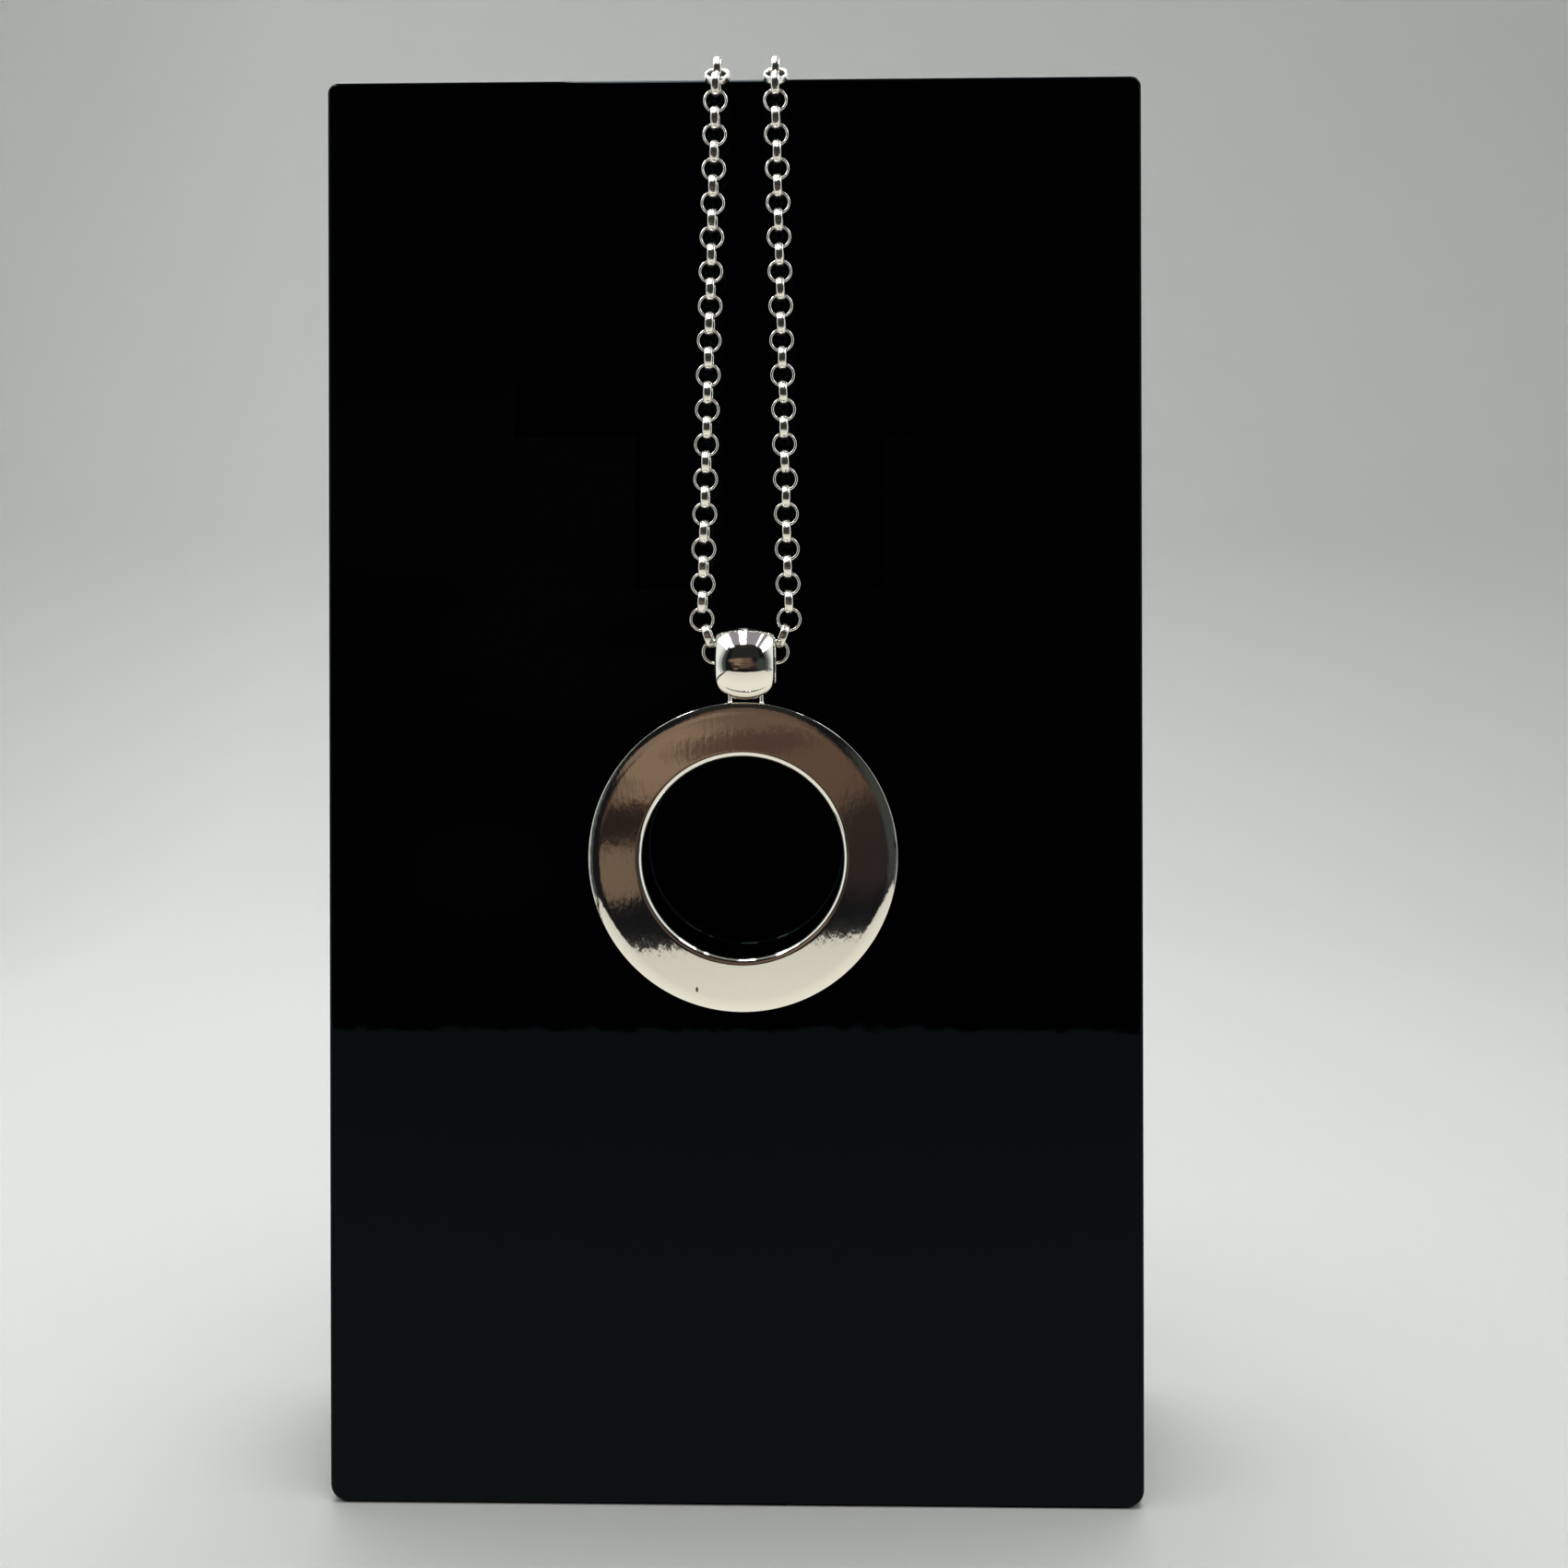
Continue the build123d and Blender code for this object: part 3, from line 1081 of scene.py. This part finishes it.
# %% The room card and how a soft spot is painted on it
ROOM_DARK = (0.008, 0.0078, 0.0085)
room_y = tent_front - 4.0
room = upright_card("dim_room", (-330, room_y), (330, room_y), (-60, 420), ROOM_DARK)
room_tree, room_glow = glow_of(room)
room_place = room_tree.nodes.new("ShaderNodeTexCoord")
room_streaks = stretched_noise(room_tree, (0.12, 1.0, 1.0), 0.2, detail=4.0)
print("room card stands at y", room_y, "mm")


def paint_spot(under, middle, reach, colour, strength, streaks):
    """Lays one soft spot of colour over the colour socket under, and returns the new colour socket."""
    mapping = room_tree.nodes.new("ShaderNodeMapping")
    mapping.vector_type = "TEXTURE"
    mapping.inputs["Location"].default_value = (middle[0] * MM, room_y * MM, middle[1] * MM)
    mapping.inputs["Scale"].default_value = (reach[0] * MM, 1.0, reach[1] * MM)
    room_tree.links.new(room_place.outputs["Object"], mapping.inputs["Vector"])
    distance = room_tree.nodes.new("ShaderNodeVectorMath")
    distance.operation = "LENGTH"
    room_tree.links.new(mapping.outputs["Vector"], distance.inputs[0])
    ragged = room_tree.nodes.new("ShaderNodeMath")
    ragged.operation = "MULTIPLY_ADD"
    ragged.inputs[1].default_value = streaks
    room_tree.links.new(room_streaks.outputs["Fac"], ragged.inputs[0])
    room_tree.links.new(distance.outputs["Value"], ragged.inputs[2])
    falloff = room_tree.nodes.new("ShaderNodeMapRange")
    falloff.interpolation_type = "SMOOTHSTEP"
    falloff.inputs["From Min"].default_value = 0.55 + streaks / 2
    falloff.inputs["From Max"].default_value = 1.15 + streaks / 2
    falloff.inputs["To Min"].default_value = strength
    falloff.inputs["To Max"].default_value = 0.0
    room_tree.links.new(ragged.outputs["Value"], falloff.inputs["Value"])
    mix = room_tree.nodes.new("ShaderNodeMix")
    mix.data_type = "RGBA"
    mix.inputs["B"].default_value = (*colour, 1.0)
    room_tree.links.new(falloff.outputs["Result"], mix.inputs["Factor"])
    if under is None:
        mix.inputs["A"].default_value = (*ROOM_DARK, 1.0)
    else:
        room_tree.links.new(under, mix.inputs["A"])
    return mix.outputs["Result"]


# %% The spots of the room, from the back to the front
# the middle (x, z) and the reach of each spot in millimetres, its colour, strength and streaks
room_spots = (
    ((120, 70), (60, 85), (0.045, 0.05, 0.044), 0.9, 0.3),
    ((-14, 76), (88, 44), (0.1, 0.062, 0.041), 1.0, 0.5),
    ((-8, 126), (60, 50), (0.13, 0.084, 0.057), 0.85, 0.5),
    ((-68, 118), (60, 25), (0.24, 0.165, 0.115), 0.75, 0.6),
    ((-44, 84), (34, 20), (0.25, 0.17, 0.11), 0.75, 0.9),
    ((-8, 86), (36, 7), (0.06, 0.034, 0.026), 0.8, 0.9),
    ((48, 38), (26, 26), (0.024, 0.018, 0.015), 0.95, 0.4),
    ((-60, 56), (26, 9), (0.018, 0.012, 0.01), 0.95, 0.5),
    ((-64, 33), (22, 15), (0.16, 0.11, 0.073), 0.95, 0.4),
    ((0, -8), (140, 30), (0.006, 0.006, 0.007), 0.95, 0.3),
)
painted = None
for middle, reach, colour, strength, streaks in room_spots:
    painted = paint_spot(painted, middle, reach, colour, strength, streaks)
room_tree.links.new(painted, room_glow.inputs["Color"])
print("spots on the room card", len(room_spots))

# %% [markdown]
# ## Light for the paper
#
# The sweep is matt, so it needs real lamps. One large soft lamp overhead, with its light held together by a
# narrower spread, gives a bright floor under a grey wall, and a weak one in front lifts the wall. A third and
# very small one lifts the shadow at the block's foot. They are kept out of the reflections, which have their
# cards.

# %% The soft lamps
def make_lamp(name, place, target, size, power, spread):
    """A square lamp at a place, turned to a target, of a size in metres, a power in watts and a spread."""
    light = bpy.data.lights.new(name, "AREA")
    light.shape = "SQUARE"
    light.size = size
    light.energy = power
    light.spread = math.radians(spread)
    lamp = bpy.data.objects.new(name, light)
    lamp.location = place
    lamp.rotation_euler = (Vector(target) - Vector(place)).to_track_quat("-Z", "Y").to_euler()
    lamp.visible_glossy = False
    bpy.context.scene.collection.objects.link(lamp)
    return lamp


soft_lamps = (
    make_lamp("soft_overhead", (-0.01, 0.09, 0.62), (-0.01, 0.08, 0.0), 0.55, 1.58, 112),
    make_lamp("soft_front", (0.0, -0.42, 0.45), (0.0, 0.1, 0.1), 0.4, 0.15, 150),
    make_lamp("soft_foot", (0.04, -0.11, 0.17), (0.03, -0.02, 0.0), 0.1, 0.025, 150),
)
print("soft lamps", [lamp.name for lamp in soft_lamps])

# %% No light from outside, and plain tones
world = bpy.data.worlds.new("plain_world")
world.use_nodes = True
world.node_tree.nodes["Background"].inputs["Strength"].default_value = 0.0
bpy.context.scene.world = world
bpy.context.scene.view_settings.view_transform = "Standard"

# %% [markdown]
# ## The camera
#
# The picture was taken from close by, 15 centimetres before the block and a little right of its middle, at
# the height of the bail. The place and turn below came from fitting the block's four front corners. The
# lens looks level, and a small downward shift keeps the upright edges upright, as a view camera does.

# %% The camera
camera_place = Vector((7.73, -160.26, 86.13)) * MM
camera_yaw = math.radians(-1.076)
camera_pitch = math.radians(0.025)
camera_roll = math.radians(-0.130)
camera_lens = 34.62
camera_drop = 0.10

camera = bpy.data.objects.new("camera", bpy.data.cameras.new("camera"))
camera.data.lens = camera_lens
camera.data.sensor_width = 36.0
camera.data.shift_y = -camera_drop
camera.data.clip_start = 0.005
camera.data.clip_end = 10.0

forward = Vector((
    math.sin(camera_yaw) * math.cos(camera_pitch),
    math.cos(camera_yaw) * math.cos(camera_pitch),
    math.sin(camera_pitch),
))
level_right = Vector((math.cos(camera_yaw), -math.sin(camera_yaw), 0.0))
level_up = level_right.cross(forward)
camera_right = math.cos(camera_roll) * level_right + math.sin(camera_roll) * level_up
camera_up = camera_right.cross(forward)
camera_turn = Matrix((camera_right, camera_up, -forward)).transposed().to_4x4()
camera.matrix_world = Matrix.Translation(camera_place) @ camera_turn
bpy.context.scene.collection.objects.link(camera)
bpy.context.scene.camera = camera
print("camera at", [round(v / MM, 1) for v in camera_place])
